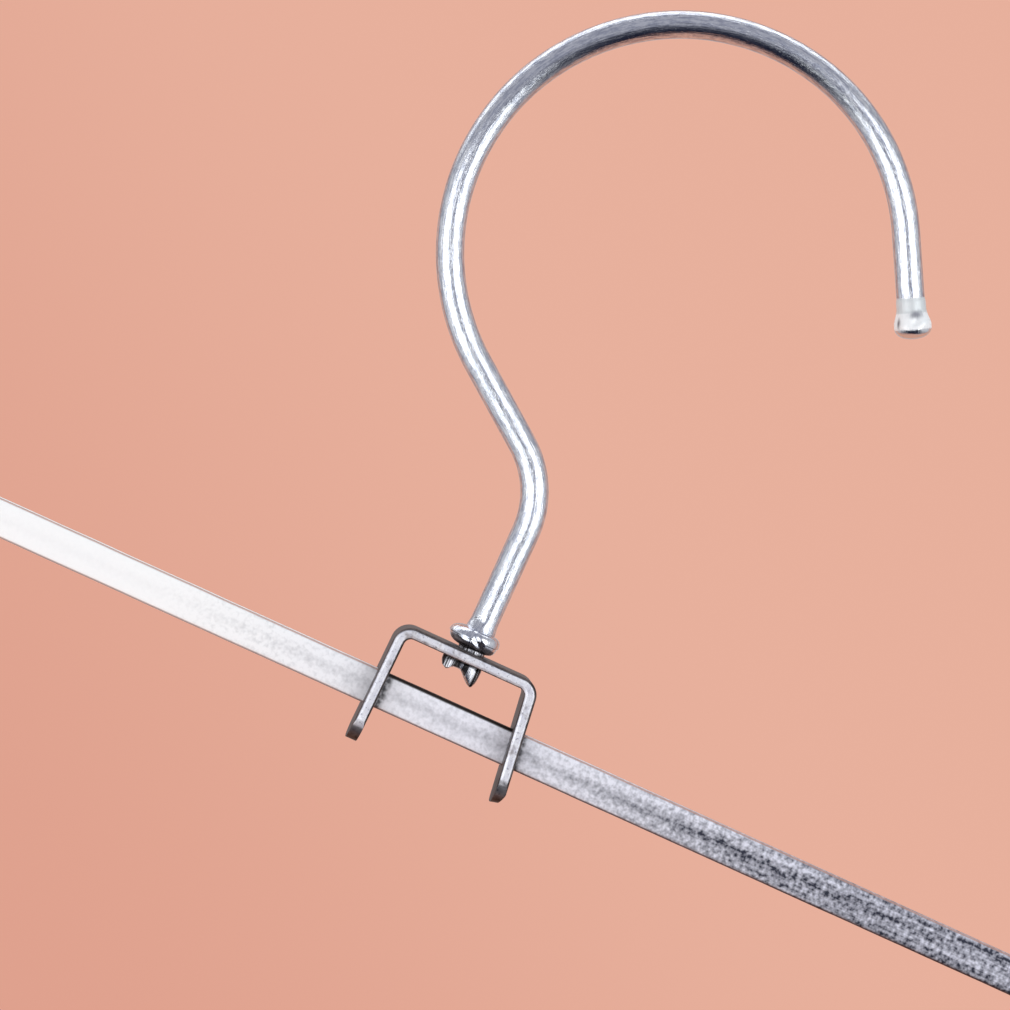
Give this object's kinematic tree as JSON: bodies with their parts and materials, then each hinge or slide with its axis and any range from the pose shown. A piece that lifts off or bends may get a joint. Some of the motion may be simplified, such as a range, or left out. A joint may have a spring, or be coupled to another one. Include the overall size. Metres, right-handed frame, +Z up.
{
  "type": "skirt hanger",
  "caption": "Metal skirt hanger: a turning wire hook in a folded bracket on a flat bar, with sprung clips that slide along the bar and grip a waistband.",
  "frame": {"origin": "where the hook sits on a closet rail: the underside of its bow on the hook's turning axis", "axes": "+X along the bar, to the side that the hook opens to; +Y from front to back; +Z up"},
  "size_m": [0.3024, 0.019, 0.1273],
  "materials": {
    "hook_zinc": "bright zinc plated wire",
    "bracket_steel": "brushed strip",
    "bar_galvanised": "mottled galvanised",
    "clip_steel": "bright zinc plated sheet",
    "pin_steel": "plated rivet",
    "spring_steel": "drawn spring wire",
    "vinyl": "matt black soft vinyl"
  },
  "bodies": {
    "hook": {"hook": "hook_zinc"},
    "crossbar": {"bracket": "bracket_steel", "bar": "bar_galvanised", "left_end_cap": "vinyl", "right_end_cap": "vinyl"},
    "left_clip": {"left_rear_jaw": "clip_steel", "left_pivot_pin": "pin_steel", "left_spring": "spring_steel", "left_rear_sleeve": "vinyl"},
    "left_jaw": {"left_front_jaw": "clip_steel", "left_front_sleeve": "vinyl"},
    "right_clip": {"right_rear_jaw": "clip_steel", "right_pivot_pin": "pin_steel", "right_spring": "spring_steel", "right_rear_sleeve": "vinyl"},
    "right_jaw": {"right_front_jaw": "clip_steel", "right_front_sleeve": "vinyl"}
  },
  "joints": [
    {"name": "hook_swivel", "type": "hinge", "parent": "hook", "child": "crossbar", "pos_m": [0, 0, -0.08177], "axis": [0, 0, 1], "continuous": true},
    {"name": "left_clip_slide", "type": "slide", "parent": "crossbar", "child": "left_clip", "axis": [1, 0, 0], "range_m": [-0.011, 0.092]},
    {"name": "left_jaw_open", "type": "hinge", "parent": "left_clip", "child": "left_jaw", "pos_m": [-0.118, 0, -0.09922], "axis": [-1, 0, 0], "range_deg": [0, 25], "stiffness_Nm_per_rad": 0.15, "springref_deg": -51.57, "deforming": ["left_spring"]},
    {"name": "right_clip_slide", "type": "slide", "parent": "crossbar", "child": "right_clip", "axis": [-1, 0, 0], "range_m": [-0.011, 0.092]},
    {"name": "right_jaw_open", "type": "hinge", "parent": "right_clip", "child": "right_jaw", "pos_m": [0.118, 0, -0.09922], "axis": [-1, 0, 0], "range_deg": [0, 25], "stiffness_Nm_per_rad": 0.15, "springref_deg": -51.57, "deforming": ["right_spring"]}
  ]
}
